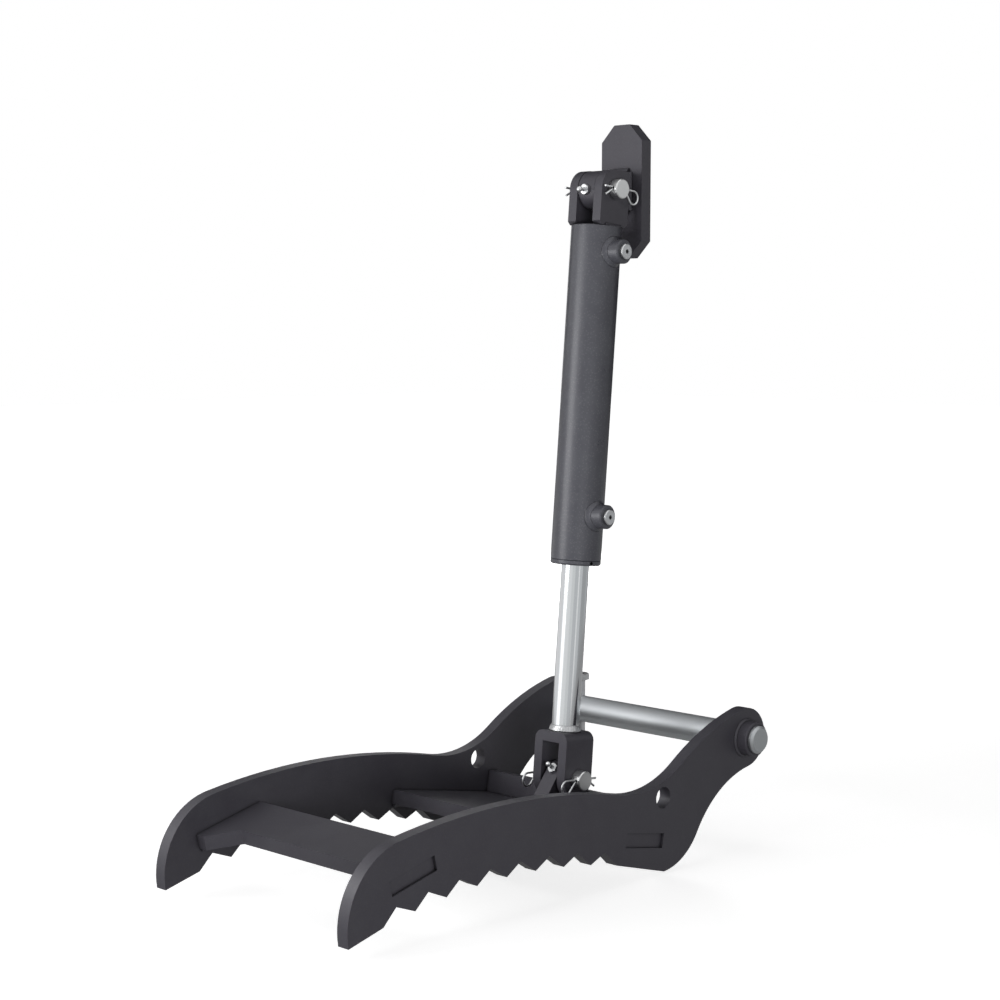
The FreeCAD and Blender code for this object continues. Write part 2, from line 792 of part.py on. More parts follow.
# Barrel assembly
save("barrel_tube", [on_cylinder(barrel_tube())])
save("base_cap", [on_cylinder(base_cap())])
save("gland", [on_cylinder(gland())])
save("rod_seal", [on_cylinder(rod_seal())])
save("wiper", [on_cylinder(wiper())])
save("gland_seal", [on_cylinder(gland_ring())])
save("ear_far", [on_base_pin(ear())])
save("ear_near", [on_base_pin(ear().mirror(Vector(0, 0, 0), Vector(0, 1, 0)))])
save("port_boss_upper", [on_cylinder(port_boss(upper_port_height))])
save("port_boss_lower", [on_cylinder(port_boss(lower_port_height))])
save("port_plug_upper", [on_cylinder(port_plug(upper_port_height))])
save("port_plug_lower", [on_cylinder(port_plug(lower_port_height))])
save("base_pin", [on_base_pin(link_pin())])
save("base_pin_cotters", [on_base_pin(cotter(side, 1)) for side in (-1, 1)])

# Mounting plate assembly
save("mounting_plate", [mounting_plate()])
save("mounting_lug", [mounting_lug()])
save("mounting_lug_bush", [bush(base_pin_axis)])
save("mounting_lug_nipple", [nipple(base_pin_axis, Vector(-1, 0, 0), mount_lug_radius)])

print("lean", round(lean, 4), "pin to pin", round(pin_to_pin, 2))
print("stroke", round(stroke, 2), "open travel left", round(closed_rod + stroke - tube_foot, 2))
print("closing travel left", round(tube_foot - closed_rod, 2))
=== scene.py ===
# %% [markdown]
# # Dressing a hydraulic thumb
#
# A hydraulic thumb is the jaw that closes against an excavator's bucket. Its exact solids come
# from a CAD model, which is loaded here as a fixed frame. This lesson leaves that frame where it
# is and gives it what a camera sees: paint, chrome, zinc plate, weld beads and a plain studio.

import math
import random

import bpy
import bmesh
from mathutils import Matrix, Vector


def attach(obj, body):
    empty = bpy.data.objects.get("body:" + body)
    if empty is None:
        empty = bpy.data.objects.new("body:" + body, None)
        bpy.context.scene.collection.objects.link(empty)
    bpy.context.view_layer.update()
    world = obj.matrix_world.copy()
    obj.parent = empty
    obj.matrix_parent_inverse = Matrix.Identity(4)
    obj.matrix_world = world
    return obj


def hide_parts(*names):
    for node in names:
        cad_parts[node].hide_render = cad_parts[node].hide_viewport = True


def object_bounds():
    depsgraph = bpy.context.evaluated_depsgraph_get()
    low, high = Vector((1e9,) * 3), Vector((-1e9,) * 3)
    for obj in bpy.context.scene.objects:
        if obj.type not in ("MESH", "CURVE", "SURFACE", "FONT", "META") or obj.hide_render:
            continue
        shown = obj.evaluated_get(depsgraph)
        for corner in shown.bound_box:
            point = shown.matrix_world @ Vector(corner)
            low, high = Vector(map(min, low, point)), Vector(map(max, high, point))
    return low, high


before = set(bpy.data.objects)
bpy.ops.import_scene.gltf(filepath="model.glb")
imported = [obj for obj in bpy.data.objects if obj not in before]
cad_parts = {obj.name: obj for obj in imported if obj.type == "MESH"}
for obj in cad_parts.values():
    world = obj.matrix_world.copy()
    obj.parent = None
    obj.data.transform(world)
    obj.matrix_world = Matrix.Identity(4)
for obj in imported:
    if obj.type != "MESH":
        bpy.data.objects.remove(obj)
cad_box = [list(corner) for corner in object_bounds()]
print("CAD box in metres", cad_box)

# %% [markdown]
# ## The camera
#
# The photograph was taken from the front left, a little above the jaw, with a fairly long lens.
# A camera can be aimed with a constraint, but a matrix made from its azimuth, elevation and roll
# says exactly where it looks, so that way was chosen.

# %% Place the camera
lens_mm = 74.106
camera_azimuth = -45.350817
camera_elevation = 4.960671
camera_roll = 0.069433
camera_place = Vector((-2.33220, -1.99570, 0.59751))

azimuth = math.radians(camera_azimuth)
elevation = math.radians(camera_elevation)
backward = Vector((math.sin(azimuth) * math.cos(elevation),
                   -math.cos(azimuth) * math.cos(elevation),
                   math.sin(elevation)))
level_right = Vector((math.cos(azimuth), math.sin(azimuth), 0))
level_up = backward.cross(level_right)
facing = Matrix((level_right, level_up, backward)).transposed().to_4x4()

camera_data = bpy.data.cameras.new("camera")
camera_data.lens = lens_mm
camera_data.sensor_width = 36
camera = bpy.data.objects.new("camera", camera_data)
roll = Matrix.Rotation(math.radians(camera_roll), 4, "Z")
camera.matrix_world = Matrix.Translation(camera_place) @ facing @ roll
bpy.context.scene.collection.objects.link(camera)
bpy.context.scene.camera = camera
print("camera is", round(camera_place.length, 3), "m from the main pin")

# %% [markdown]
# ## Three helpers for materials
#
# Paint makers give colours as sRGB hex values, while the shader works in linear light, so one
# function turns the first into the second. Another adds a node, sets its values and links its
# sockets in one call, which keeps each finish to a few lines. The third starts an empty material.

# %% Helpers for colours and nodes


def linear(hex_colour):
    channels = [int(hex_colour[i:i + 2], 16) / 255 for i in (1, 3, 5)]
    return [c / 12.92 if c <= 0.04045 else ((c + 0.055) / 1.055) ** 2.4 for c in channels] + [1.0]


def add_node(tree, kind, settings=None, links=None):
    node = tree.nodes.new(kind)
    for name, value in (settings or {}).items():
        if isinstance(name, int) or name in node.inputs:
            node.inputs[name].default_value = value
        else:
            setattr(node, name, value)
    for name, source in (links or {}).items():
        tree.links.new(source, node.inputs[name])
    return node


def start_material(name):
    material = bpy.data.materials.new(name)
    material.use_nodes = True
    material.node_tree.nodes.clear()
    return material, material.node_tree


print("charcoal in linear light", [round(c, 3) for c in linear("#3E3D42")])

# %% [markdown]
# Shade gathers in sockets, slots and weld toes, and the helper below paints it into the colour. It measures
# how open a point is, within a few millimetres, from 0 in a closed corner to 1 on a flat face. It leaves
# the colour alone where the point is open enough, and darkens it where it isn't: painted shade.

# %% Helper for painted shade in the corners
# How open a corner is where the painted shade is darkest, and how much of its colour is left there.
most_shaded_openness = 0.30
painted_shade_tint = 0.10


# Painted shade: the colour is darkened where a point is closed in, as if shade fell there.
def painted_shade_in_corners(tree, colour_socket, reach_mm, unshaded_openness):
    closed_in = add_node(tree, "ShaderNodeAmbientOcclusion", {"samples": 8, "Distance": reach_mm / 1000})
    shade_ramp = add_node(tree, "ShaderNodeMapRange",
                     {"From Min": most_shaded_openness, "From Max": unshaded_openness, "To Min": painted_shade_tint, "To Max": 1.0},
                     {"Value": closed_in.outputs["AO"]})
    shaded_colour = add_node(tree, "ShaderNodeMix", {"data_type": "RGBA", "blend_type": "MULTIPLY", 0: 1.0},
                     {6: colour_socket, 7: shade_ramp.outputs["Result"]})
    return shaded_colour.outputs[2]


print("a closed corner keeps", painted_shade_tint, "of its colour")

# %% [markdown]
# ## The studio
#
# The photograph is a cut-out on white: a broad light stands in front of the jaw, a weaker one near
# the camera, and very little comes from above or below. A white background could be made with
# strong lamps, but they would bleach the paint. Here the world is white to the eye and to
# reflections, and dim as a light.

# %% The white world
world = bpy.data.worlds.new("white studio")
bpy.context.scene.world = world
world.use_nodes = True
sky = world.node_tree
sky.nodes.clear()
ambient_level = 0.07
ray = add_node(sky, "ShaderNodeLightPath")
seen = add_node(sky, "ShaderNodeMath", {"operation": "MAXIMUM"},
                {0: ray.outputs["Is Camera Ray"], 1: ray.outputs["Is Glossy Ray"]})
seen = add_node(sky, "ShaderNodeMath", {"operation": "MAXIMUM"},
                {0: seen.outputs[0], 1: ray.outputs["Is Transmission Ray"]})
level = add_node(sky, "ShaderNodeMapRange", {"To Min": ambient_level, "To Max": 1.0},
                 {"Value": seen.outputs[0]})
light = add_node(sky, "ShaderNodeBackground", {"Color": (1, 1, 1, 1)},
                 {"Strength": level.outputs["Result"]})
add_node(sky, "ShaderNodeOutputWorld", {}, {"Surface": light.outputs[0]})
print("ambient level", ambient_level)

# %% [markdown]
# Four soft boxes, all of them rectangular area lamps, light the object. The front and fill boxes
# stand low, so faces that look up stay dark, as they do in the photograph. The top box is weak and
# only draws the shadow under the jaw. The back box lights the side that the photograph doesn't
# show. They are hidden from reflections, because the cards of the next cell make those.

# %% Soft boxes


def soft_box(name, place, target, wide, tall, watts):
    data = bpy.data.lights.new(name, "AREA")
    data.shape = "RECTANGLE"
    data.size = wide
    data.size_y = tall
    data.energy = watts
    lamp = bpy.data.objects.new(name, data)
    lamp.location = place
    lamp.rotation_euler = (Vector(target) - Vector(place)).to_track_quat("-Z", "Y").to_euler()
    lamp.visible_glossy = False
    bpy.context.scene.collection.objects.link(lamp)
    return lamp


# Each lamp has its place, what it aims at, its width and height in metres, and its watts.
front_box = soft_box("front box", (-3.8, 0.62, 0.9), (-0.3, 0, 0.2), 2.6, 1.3, 80)
fill_box = soft_box("fill box", (-1.7, -2.3, 0.3), (-0.4, 0, 0.2), 1.6, 0.6, 34)
top_box = soft_box("top box", (-0.2, 0.1, 3.0), (-0.3, 0, 0), 1.4, 1.4, 7)
back_box = soft_box("back box", (1.9, 3.2, 0.6), (-0.3, 0, 0.3), 1.6, 0.8, 85)
print("lamps", [lamp.name for lamp in (front_box, fill_box, top_box, back_box)])

# %% [markdown]
# Chrome looks like chrome only when there is something to reflect. Photographers stand cards
# around it, out of the picture, and each card becomes an upright stripe on the rod. White card is
# the bright stripe, greys are the soft steps beside it, and a dark flag far behind keeps the sheen
# off the faces that look up. The cards are seen by reflections only, so they neither light the
# object nor show behind it. Their angles are counted to the right from the camera's side.

# %% Cards for the reflections
toward_camera = math.degrees(math.atan2(camera_place.y, camera_place.x))
card_steps = 12


def card(name, radius, start, end, low, high, grey, strength=1.0):
    material, tree = start_material("matt card " + name)
    glow = add_node(tree, "ShaderNodeEmission", {"Color": linear(grey), "Strength": strength})
    add_node(tree, "ShaderNodeOutputMaterial", {}, {"Surface": glow.outputs[0]})
    corners = []
    for i in range(card_steps + 1):
        turn = math.radians(toward_camera + start + (end - start) * i / card_steps)
        side = Vector((radius * math.cos(turn), radius * math.sin(turn), 0))
        corners += [side + Vector((0, 0, low)), side + Vector((0, 0, high))]
    faces = [(2 * i, 2 * i + 2, 2 * i + 3, 2 * i + 1) for i in range(card_steps)]
    mesh = bpy.data.meshes.new(name)
    mesh.from_pydata(corners, [], faces)
    mesh.materials.append(material)
    sheet = bpy.data.objects.new(name, mesh)
    bpy.context.scene.collection.objects.link(sheet)
    sheet.visible_camera = False
    sheet.visible_diffuse = False
    sheet.visible_shadow = False
    sheet.visible_transmission = False
    return sheet


near = 1.5
far = 4.5
foot = -0.12
waist = 0.28
head = 0.95
# Each card has its distance, its first and last angle, its lower and upper edge, and its grey.
cards = [
    card("edge line", near, -168, -146, waist, head, "#FFFFFF"),
    card("left", near, -137, -78, foot, waist, "#EFEFF0"),
    card("middle left", near, -137, -82, waist, 0.6, "#C6C6C7"),
    card("upper left", near, -120, -86, 0.64, head, "#FFFFFF"),
    card("high left", near, -134, -98, head, 2.4, "#CFD0D1"),
    card("stripe", near, -78, -49, foot, waist, "#FFFFFF", 1.6),
    card("upper stripe", near, -76, -48, waist, head, "#FFFFFF", 5.4),
    card("front left", near, -49, -20, foot, head, "#F4F5F5"),
    card("front", near, -20, 2, foot, head, "#E4E6E6"),
    card("front right", near, 2, 30, foot, head, "#CFD1D2"),
    card("line", near, 30, 38, foot, waist, "#FFFFFF"),
    card("right front", near, 38, 64, foot, head, "#D3D5D6"),
    card("right", near, 64, 112, foot, head, "#AEB0B1"),
    card("right back", near, 112, 140, foot, waist, "#BCBEC0"),
    card("flag", far, 110, 250, 0.05, 9.0, "#2E2E30"),
]
print("cards", len(cards))

# %% [markdown]
# The floor is a plain sheet of white paper just below the lowest tooth. It glows a little for the
# camera, more so far from the object, so it melts into the background while the jaw's shadow stays
# on it. Other rays find a dim grey, because the photograph has hardly any light from below.

# %% The floor
floor_drop = 0.004
floor_reach = 14.0
fade_start = 0.9
fade_end = 3.2
glow_near = 0.70
glow_far = 0.97
glow_in_metal = 0.28
floor_material, tree = start_material("white studio paper")
ray = add_node(tree, "ShaderNodeLightPath")
paper_colour = add_node(tree, "ShaderNodeMix",
                        {"data_type": "RGBA", 6: linear("#6A6A6A"), 7: linear("#E8E8E8")},
                        {"Factor": ray.outputs["Is Camera Ray"]})
paper = add_node(tree, "ShaderNodeBsdfPrincipled", {"Roughness": 0.9, "Specular IOR Level": 0.2},
                 {"Base Color": paper_colour.outputs[2]})
spot = add_node(tree, "ShaderNodeNewGeometry")
away = add_node(tree, "ShaderNodeVectorMath", {"operation": "LENGTH"}, {0: spot.outputs["Position"]})
fade = add_node(tree, "ShaderNodeMapRange",
                {"From Min": fade_start, "From Max": fade_end, "To Min": glow_near, "To Max": glow_far},
                {"Value": away.outputs["Value"]})
to_camera = add_node(tree, "ShaderNodeMath", {"operation": "MULTIPLY"},
                     {0: ray.outputs["Is Camera Ray"], 1: fade.outputs["Result"]})
to_metal = add_node(tree, "ShaderNodeMath", {"operation": "MULTIPLY_ADD", 1: glow_in_metal},
                    {0: ray.outputs["Is Glossy Ray"], 2: to_camera.outputs[0]})
glow = add_node(tree, "ShaderNodeEmission", {"Color": (1, 1, 1, 1)}, {"Strength": to_metal.outputs[0]})
both = add_node(tree, "ShaderNodeAddShader", {}, {0: paper.outputs[0], 1: glow.outputs[0]})
add_node(tree, "ShaderNodeOutputMaterial", {}, {"Surface": both.outputs[0]})

floor_mesh = bpy.data.meshes.new("floor")
height = cad_box[0][2] - floor_drop
floor_signs = ((-1, -1), (1, -1), (1, 1), (-1, 1))
floor_corners = [(x * floor_reach, y * floor_reach, height) for x, y in floor_signs]
floor_mesh.from_pydata(floor_corners, [], [(0, 1, 2, 3)])
floor_mesh.materials.append(floor_material)
floor = bpy.data.objects.new("floor", floor_mesh)
bpy.context.scene.collection.objects.link(floor)
print("floor at", round(height, 4), "m")

# %% [markdown]
# ## Charcoal enamel on steel plate
#
# The side plates, crosspieces and lugs are flame-cut mild steel, shot-blasted and sprayed with a
# satin two-pack enamel. The eye sees an even charcoal with a slight violet cast, a fine orange
# peel a couple of millimetres wide, and faint clouds where the coat is thicker. The barrel and its
# ports got a lighter, glossier coat from the same gun, so one function makes both.

# %% Charcoal enamels
cloud_size = 0.045
nib_spacing = 0.0035


def enamel(name, colour, cloud_colour, roughness, peel_mm, peel_depth_mm, speck_share):
    material, tree = start_material(name)
    place = add_node(tree, "ShaderNodeTexCoord").outputs["Object"]
    clouds = add_node(tree, "ShaderNodeTexNoise",
                      {"Scale": 1 / cloud_size, "Detail": 7.0, "Roughness": 0.72},
                      {"Vector": place})
    cloud_ramp = add_node(tree, "ShaderNodeMapRange", {"From Min": 0.35, "From Max": 0.7},
                          {"Value": clouds.outputs["Fac"]})
    coat = add_node(tree, "ShaderNodeMix",
                    {"data_type": "RGBA", 6: linear(colour), 7: linear(cloud_colour)},
                    {"Factor": cloud_ramp.outputs["Result"]})
    # Dust nibs and overspray are lighter than the coat.
    nibs = add_node(tree, "ShaderNodeTexVoronoi", {"Scale": 1 / nib_spacing, "Randomness": 1.0},
                    {"Vector": place})
    nib_dots = add_node(tree, "ShaderNodeMapRange",
                        {"From Min": 0.05, "From Max": 0.4, "To Min": speck_share, "To Max": 0.0},
                        {"Value": nibs.outputs["Distance"]})
    dusted = add_node(tree, "ShaderNodeMix", {"data_type": "RGBA", 7: linear("#8C8B90")},
                      {"Factor": nib_dots.outputs["Result"], 6: coat.outputs[2]})
    peel = add_node(tree, "ShaderNodeTexNoise", {"Scale": 1000 / peel_mm, "Detail": 2.0, "Roughness": 0.55},
                    {"Vector": place})
    bump = add_node(tree, "ShaderNodeBump", {"Strength": 0.5, "Distance": peel_depth_mm / 1000},
                    {"Height": peel.outputs["Fac"]})
    gloss = add_node(tree, "ShaderNodeMapRange",
                     {"From Min": 0.3, "From Max": 0.7,
                      "To Min": roughness - 0.05, "To Max": roughness + 0.06},
                     {"Value": clouds.outputs["Fac"]})
    # The coat's colour is darkened in corners and recesses within 7 mm: painted shade.
    skin = add_node(tree, "ShaderNodeBsdfPrincipled", {"IOR": 1.5, "Specular IOR Level": 0.42},
                    {"Base Color": painted_shade_in_corners(tree, dusted.outputs[2], reach_mm=7, unshaded_openness=0.85),
                     "Roughness": gloss.outputs["Result"],
                     "Normal": bump.outputs["Normal"]})
    add_node(tree, "ShaderNodeOutputMaterial", {}, {"Surface": skin.outputs[0]})
    return material


plate_enamel = enamel("charcoal satin enamel", "#413F46", "#46454B",
                      roughness=0.43, peel_mm=2.4, peel_depth_mm=0.10, speck_share=0.04)
tube_enamel = enamel("charcoal semi-gloss enamel", "#4D4D54", "#56575D",
                     roughness=0.31, peel_mm=2.2, peel_depth_mm=0.16, speck_share=0.20)
print("enamels", plate_enamel.name, "and", tube_enamel.name)

# %% [markdown]
# ## Chrome-plated rod
#
# A cylinder rod is ground steel with a hard chrome layer, polished along its length as it spins.
# It is a mirror with the faintest grinding lines around it. The lines are a few hundredths of a
# millimetre apart, too fine to draw, so they are drawn 1.2 mm apart and very shallow.

# %% Hard chrome
ring_spacing = 0.001184
# Blender's wave node makes one band for each 2 pi / 20 of its scaled place.
band_length = 2 * math.pi / 20
chrome, tree = start_material("ground hard chrome")
place = add_node(tree, "ShaderNodeTexCoord").outputs["Object"]
lines = add_node(tree, "ShaderNodeTexWave",
                 {"wave_type": "BANDS", "bands_direction": "Z",
                  "Scale": band_length / ring_spacing, "Distortion": 1.5},
                 {"Vector": place})
bump = add_node(tree, "ShaderNodeBump", {"Strength": 0.08, "Distance": 0.00002},
                {"Height": lines.outputs["Fac"]})
shine = add_node(tree, "ShaderNodeBsdfPrincipled",
                 {"Base Color": linear("#D6D8DA"), "Metallic": 1.0, "Roughness": 0.13},
                 {"Normal": bump.outputs["Normal"]})
add_node(tree, "ShaderNodeOutputMaterial", {}, {"Surface": shine.outputs[0]})
print("made", chrome.name)

# %% [markdown]
# ## Turned pins, zinc plate and bare weld
#
# The pins are turned from bright bar: the long one has a satin sheen, and the link pins are ground
# a little brighter. Bolts, plugs, split pins and grease nipples are zinc plated, which is lighter
# and slightly blue. The weld under the rod was left bare, so it is a rough, sparkling grey metal.
# Inside are oiled machined steel, which is darker, and yellow bearing bronze. All of them are a
# metal with a fine uneven grain, so one function makes them.

# %% Bright metals


def bright_metal(name, colour, dull_colour, roughness, grain_mm, grain_depth_mm):
    material, tree = start_material(name)
    place = add_node(tree, "ShaderNodeTexCoord").outputs["Object"]
    grain = add_node(tree, "ShaderNodeTexNoise", {"Scale": 1000 / grain_mm, "Detail": 3.0},
                     {"Vector": place})
    tint = add_node(tree, "ShaderNodeMix",
                    {"data_type": "RGBA", 6: linear(colour), 7: linear(dull_colour)},
                    {"Factor": grain.outputs["Fac"]})
    bump = add_node(tree, "ShaderNodeBump", {"Strength": 0.6, "Distance": grain_depth_mm / 1000},
                    {"Height": grain.outputs["Fac"]})
    # The metal's colour is darkened in sockets and recesses within 5 mm: painted shade.
    skin = add_node(tree, "ShaderNodeBsdfPrincipled", {"Metallic": 1.0, "Roughness": roughness},
                    {"Base Color": painted_shade_in_corners(tree, tint.outputs[2], reach_mm=5, unshaded_openness=0.75),
                     "Normal": bump.outputs["Normal"]})
    add_node(tree, "ShaderNodeOutputMaterial", {}, {"Surface": skin.outputs[0]})
    return material


# Each metal has its colour, the colour of its duller grains, its roughness, and the width and
# depth of the grain in millimetres.
pin_steel = bright_metal("turned bright steel", "#C3C6C9", "#B8BBBD", 0.50, 0.9, 0.02)
link_steel = bright_metal("ground bright steel", "#E0E1E1", "#D4D5D5", 0.34, 0.9, 0.02)
zinc = bright_metal("bright zinc plate", "#DCDDDE", "#CFD0D2", 0.36, 1.2, 0.02)
weld_metal = bright_metal("bare weld metal", "#D8D9DA", "#9C9D9F", 0.34, 3.0, 0.9)
machined = bright_metal("machined steel, oiled", "#8E8F92", "#7C7D80", 0.32, 1.0, 0.01)
bearing_bronze = bright_metal("bearing bronze", "#B08A4E", "#9A7640", 0.35, 1.0, 0.02)
print("metals", [m.name for m in (pin_steel, link_steel, zinc, weld_metal, machined, bearing_bronze)])

# %% [markdown]
# Seals are black nitrile rubber and the wear rings are brown fabric-filled phenolic, both moulded,
# with a fine even texture from the mould. They sit inside the cylinder, but they are dressed too,
# in case it is ever shown cut open.

# %% Rubber and phenolic


def moulded(name, colour, roughness, texture_mm):
    material, tree = start_material(name)
    place = add_node(tree, "ShaderNodeTexCoord").outputs["Object"]
    fine = add_node(tree, "ShaderNodeTexNoise", {"Scale": 1000 / texture_mm, "Detail": 2.0},
                    {"Vector": place})
    bump = add_node(tree, "ShaderNodeBump", {"Strength": 0.3, "Distance": 0.00002},
                    {"Height": fine.outputs["Fac"]})
    skin = add_node(tree, "ShaderNodeBsdfPrincipled",
                    {"Base Color": linear(colour), "Roughness": roughness},
                    {"Normal": bump.outputs["Normal"]})
    add_node(tree, "ShaderNodeOutputMaterial", {}, {"Surface": skin.outputs[0]})
    return material


nitrile = moulded("black nitrile rubber", "#1B1B1C", 0.5, 0.8)
phenolic = moulded("brown phenolic", "#6E4426", 0.45, 0.8)
print("made", nitrile.name, "and", phenolic.name)

# %% [markdown]
# ## Which part wears which finish
#
# Every CAD node keeps its shape and gets a finish. The names of the nodes say what they are, so a
# short list for each finish is enough, and whatever isn't listed was sprayed with the plates.

# %% Dress the CAD nodes
finishes = {
    chrome: ["piston_rod"],
    pin_steel: ["main_pin"],
    link_steel: ["rod_pin", "base_pin"],
    zinc: ["cross_bolt", "cross_nut", "thumb_lug_nipple", "mounting_lug_nipple", "rod_pin_cotters",
           "base_pin_cotters", "port_plug_upper", "port_plug_lower"],
    weld_metal: ["rod_weld"],
    machined: ["piston", "piston_nut"],
    bearing_bronze: ["thumb_lug_bush", "mounting_lug_bush"],
    nitrile: ["piston_seal", "rod_seal", "wiper", "gland_seal"],
    phenolic: ["piston_wear_rings"],
    tube_enamel: ["barrel_tube", "gland", "port_boss_upper", "port_boss_lower", "base_cap"],
}
finish_of = {node: material for material, nodes in finishes.items() for node in nodes}
for name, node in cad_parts.items():
    finish = finish_of.get(name, plate_enamel)
    node.data.materials.clear()
    node.data.materials.append(finish)
print("sprayed", len(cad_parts) - len(finish_of), "nodes with", plate_enamel.name)

# %% [markdown]
# ## Weld beads
#
# A fillet weld fills the corner between two faces. The welder lays it in small pushes, so it looks
# like a row of overlapping coins, with each ripple bowed along the seam. Such a bead could be a bump
# map on a plain fillet, but its outline is wavy too, so it is built as a mesh. The function takes a
# rail: points along the corner, each with the directions in which the two faces lead away. The legs
# are how far the bead reaches along each face, lumps is how uneven it is, and hollow sinks its skin.

# %% One bead of weld
ripple_pitch = 0.0036
ripple_bow = 0.55
mean_ripple = 0.6
bead_steps = 5
profile_steps = 6
profile_dip = 0.15
drift_per_metre = 130
bead_random = random.Random(7)


def weld_bead(name, body, rail, leg_a, leg_b, closed=False, lumps=0.06, hollow=0.0):
    mesh = bmesh.new()
    rings = []
    travelled = 0.0
    sway = [bead_random.uniform(0, 6.28) for _ in range(3)]
    for i, (corner, along_a, along_b) in enumerate(rail):
        travelled += (corner - rail[max(i - 1, 0)][0]).length
        waves = [math.sin(travelled * drift_per_metre * (n + 1) + sway[n]) for n in range(3)]
        drift = sum(waves) * lumps / 3
        points = [corner]
        for k in range(profile_steps + 1):
            turn = math.pi / 2 * k / profile_steps
            bow = ripple_bow * math.sin(2 * turn)
            ripple = abs(math.sin(math.pi * (travelled / ripple_pitch + bow)))
            full = 1 + lumps * (ripple - mean_ripple) + drift
            bulge = (1 - hollow) * (1 - profile_dip * math.sin(2 * turn))
            out_a = bulge * math.cos(turn) + hollow * (1 - math.sin(turn))
            out_b = bulge * math.sin(turn) + hollow * (1 - math.cos(turn))
            points.append(corner + (along_a * leg_a * out_a + along_b * leg_b * out_b) * full)
        rings.append([mesh.verts.new(point) for point in points])
    pairs = list(zip(rings, rings[1:])) + ([(rings[-1], rings[0])] if closed else [])
    for ring, after in pairs:
        for k in range(len(ring)):
            j = (k + 1) % len(ring)
            mesh.faces.new((ring[k], ring[j], after[j], after[k])).smooth = True
    if not closed:
        mesh.faces.new(rings[0])
        mesh.faces.new(rings[-1])
    bmesh.ops.recalc_face_normals(mesh, faces=mesh.faces)
    data = bpy.data.meshes.new(name)
    mesh.to_mesh(data)
    mesh.free()
    bead = bpy.data.objects.new(name, data)
    bpy.context.scene.collection.objects.link(bead)
    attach(bead, body)
    return bead


def straight_rail(start, end, along_a, along_b):
    steps = max(2, int((end - start).length / ripple_pitch * bead_steps))
    return [(start.lerp(end, i / steps), along_a, along_b) for i in range(steps + 1)]


def painted_bead(name, body, rail, leg, closed=False):
    bead = weld_bead(name, body, rail, leg, leg, closed)
    bead.data.materials.append(plate_enamel)
    return bead


print("ripples every", ripple_pitch * 1000, "mm")

# %% [markdown]
# The crosspieces are welded to the side plates underneath, where the jaw's throat hides the beads.
# Both lie at a slope, so their corners are written in the crosspiece's own axes and turned from
# there.

# %% Welds under the crosspieces
inner_face = 0.172
half_bar = 0.010
cross_leg = 0.006


def sloped(centre_x, centre_z, angle):
    turn = math.radians(angle)
    along = Vector((math.cos(turn), 0, math.sin(turn)))
    square = Vector((-math.sin(turn), 0, math.cos(turn)))
    centre = Vector((centre_x, 0, centre_z))

    def point(x, y, z):
        return centre + along * x + square * z + Vector((0, y, 0))

    return along, square, point


front_slope = sloped(centre_x=-0.6544, centre_z=-0.0767, angle=14.0)
rear_slope = sloped(centre_x=-0.2216, centre_z=-0.1113, angle=-10.1)
sides = (("near", -1), ("far", 1))
# Each seam runs from a crosspiece's front edge to its back edge.
seams = [("front", front_slope, -0.052, 0.054), ("rear", rear_slope, -0.136, 0.077)]
for label, (along, square, point), seam_start, seam_end in seams:
    for side_name, side in sides:
        start = point(seam_start, side * inner_face, -half_bar)
        end = point(seam_end, side * inner_face, -half_bar)
        rail = straight_rail(start, end, Vector((0, -side, 0)), -square)
        painted_bead("weld_" + label + "_cross_" + side_name, "thumb", rail, cross_leg)
print("crosspiece welds", len(seams) * len(sides))

# %% [markdown]
# The upright bar is welded to the rear crosspiece along its back, and the cylinder lug down both
# sides, from its toe to the bar.

# %% Welds of the bar and the lug
bar_back = 0.0745
bar_half_y = 0.170
bar_leg = 0.0042
half_lug = 0.0125
lug_toe = -0.0227
lug_heel = 0.0545
lug_leg = 0.0045
rear_along, rear_square, rear_point = rear_slope
start = rear_point(bar_back, -bar_half_y, half_bar)
end = rear_point(bar_back, bar_half_y, half_bar)
painted_bead("weld_bar_back", "thumb", straight_rail(start, end, rear_along, rear_square), bar_leg)
for side_name, side in sides:
    start = rear_point(lug_toe, side * half_lug, half_bar)
    end = rear_point(lug_heel, side * half_lug, half_bar)
    rail = straight_rail(start, end, Vector((0, side, 0)), rear_square)
    painted_bead("weld_lug_" + side_name, "thumb", rail, lug_leg)
print("bar and lug welds made")

# %% [markdown]
# A round seam is a rail too. The bosses on the side plates have one each, and so has the bare bead
# between the rod and its fork, which replaces the plain cone that the CAD model has there.

# %% Round welds
plate_outside = 0.191
boss_radius = 0.025
boss_leg = 0.0034
fork_top = 0.067
rod_weld_radius = 0.0198
rod_leg_out = 0.0036
rod_leg_up = 0.0090


def round_rail(centre, axis, radius):
    first = axis.orthogonal().normalized()
    second = axis.cross(first)
    steps = int(2 * math.pi * radius / ripple_pitch) * bead_steps
    rail = []
    for i in range(steps):
        turn = 2 * math.pi * i / steps
        outward = first * math.cos(turn) + second * math.sin(turn)
        rail.append((centre + outward * radius, outward, axis))
    return rail


for side_name, side in sides:
    boss_axis = Vector((0, side, 0))
    rail = round_rail(boss_axis * plate_outside, boss_axis, boss_radius)
    painted_bead("weld_boss_" + side_name, "thumb", rail, boss_leg, closed=True)

rod_pin = Vector((-0.1835, 0, -0.0578))
base_pin = Vector((-0.1104, 0, 0.7852))
cylinder_axis = (base_pin - rod_pin).normalized()
cylinder_right = Vector((0, 1, 0)).cross(cylinder_axis)
rail = round_rail(rod_pin + cylinder_axis * fork_top, cylinder_axis, rod_weld_radius)
rod_bead = weld_bead("rod_weld_bead", "rod", rail, rod_leg_out, rod_leg_up,
                     closed=True, lumps=0.14, hollow=0.3)
rod_bead.data.materials.append(weld_metal)
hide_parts("rod_weld")
print("round welds made")

# %% [markdown]
# Where a port boss meets the barrel, two round tubes cross, and the seam bends like a saddle. Its
# points come from the two radii: at each turn around the boss, how far out the barrel's skin is.

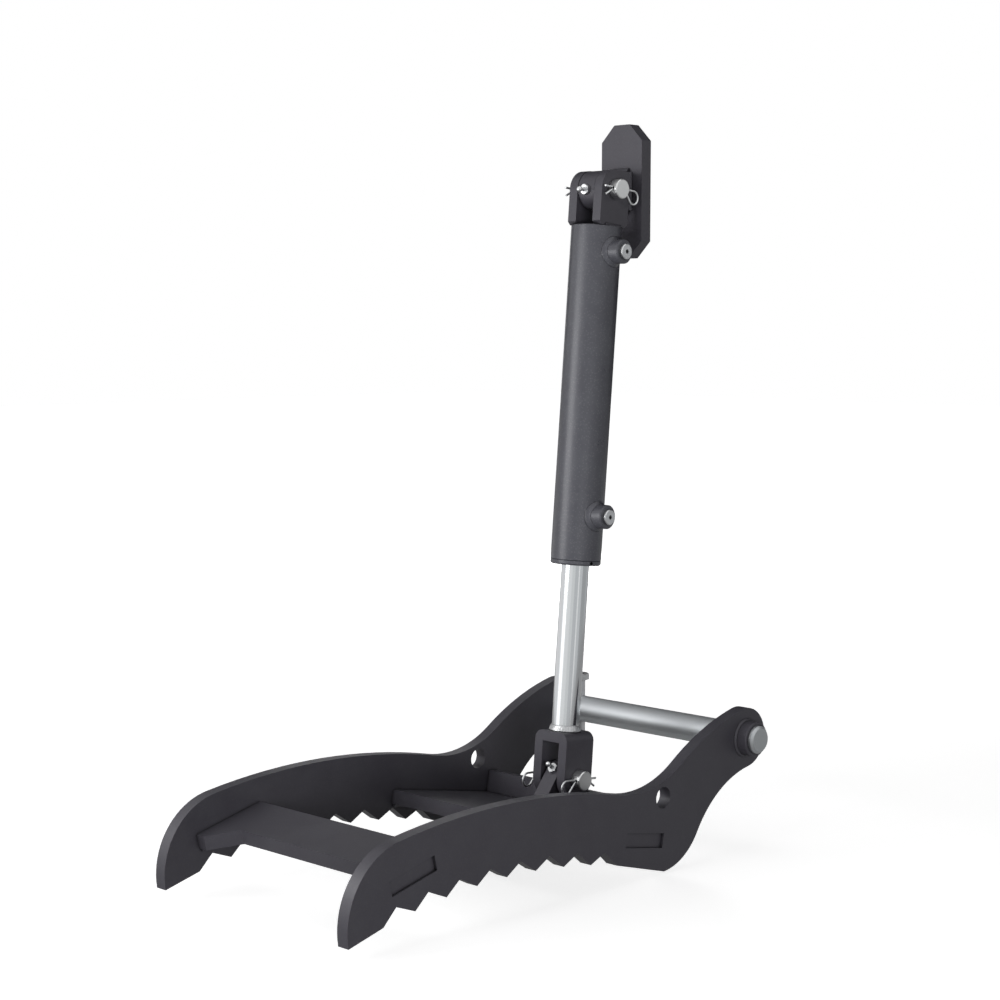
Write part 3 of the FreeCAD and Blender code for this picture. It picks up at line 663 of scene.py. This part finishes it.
# %% Welds of the port bosses
barrel_radius = 0.0365
port_radius = 0.01725
port_turn = math.radians(-2.0)
port_out = -cylinder_right * math.sin(port_turn) - Vector((0, 1, 0)) * math.cos(port_turn)
port_side = cylinder_axis.cross(port_out)
port_leg_skin = 0.0052
port_leg_boss = 0.0056
port_heights = {"lower": 0.37929, "upper": 0.75716}
for label, port_height in port_heights.items():
    middle = rod_pin + cylinder_axis * port_height
    steps = int(2 * math.pi * port_radius / ripple_pitch) * bead_steps
    rail = []
    for i in range(steps):
        turn = 2 * math.pi * i / steps
        sideways = port_radius * math.sin(turn)
        out = math.sqrt(barrel_radius ** 2 - sideways ** 2)
        on_skin = port_out * out + port_side * sideways
        corner = middle + on_skin + cylinder_axis * port_radius * math.cos(turn)
        skin = on_skin / barrel_radius
        radial = port_side * math.sin(turn) + cylinder_axis * math.cos(turn)
        rail.append((corner, (radial - skin * radial.dot(skin)).normalized(), port_out))
    bead = weld_bead("weld_port_" + label, "barrel", rail, port_leg_skin, port_leg_boss,
                     closed=True, lumps=0.10, hollow=0.75)
    bead.data.materials.append(tube_enamel)
print("port welds", list(port_heights))

# %% [markdown]
# The ears stand on the barrel's cap with a bead along each side, and the mounting lug is welded
# all round to its plate.

# %% Welds of the ears and the mounting lug
cap_top = 0.79396
cap_centre = rod_pin + cylinder_axis * cap_top
# For each face of an ear: its distance from the middle, which way it looks, half its weld's length
# and the weld's leg.
ear_faces = {"inside": (0.016, -1, 0.021, 0.004), "outside": (0.031, 1, 0.017, 0.0034)}
for side_name, side in sides:
    across = Vector((0, side, 0))
    for face_name, (distance, looks, half, leg) in ear_faces.items():
        ear_foot = cap_centre + across * distance
        start = ear_foot - cylinder_right * half
        end = ear_foot + cylinder_right * half
        rail = straight_rail(start, end, across * looks, cylinder_axis)
        painted_bead("weld_ear_" + side_name + "_" + face_name, "barrel", rail, leg)

pin_to_plate = 0.0487
plate_face = base_pin.x + pin_to_plate
lug_half_y = 0.015
lug_half_z = 0.0275
mount_leg = 0.006
forward = Vector((-1, 0, 0))
for side_name, side in sides:
    start = Vector((plate_face, side * lug_half_y, base_pin.z - lug_half_z))
    end = Vector((plate_face, side * lug_half_y, base_pin.z + lug_half_z))
    rail = straight_rail(start, end, Vector((0, side, 0)), forward)
    painted_bead("weld_mount_" + side_name, "stick_mount", rail, mount_leg)
for edge_name, edge in (("top", 1), ("bottom", -1)):
    start = Vector((plate_face, -lug_half_y, base_pin.z + edge * lug_half_z))
    end = Vector((plate_face, lug_half_y, base_pin.z + edge * lug_half_z))
    rail = straight_rail(start, end, Vector((0, 0, edge)), forward)
    painted_bead("weld_mount_" + edge_name, "stick_mount", rail, mount_leg)

# %% [markdown]
# ## The end
#
# The dressed model has to stay inside the exact one. The Standard view shows each colour
# about as it was written, which is why it was chosen.

# %% The view transform
bpy.context.scene.view_settings.view_transform = "Standard"
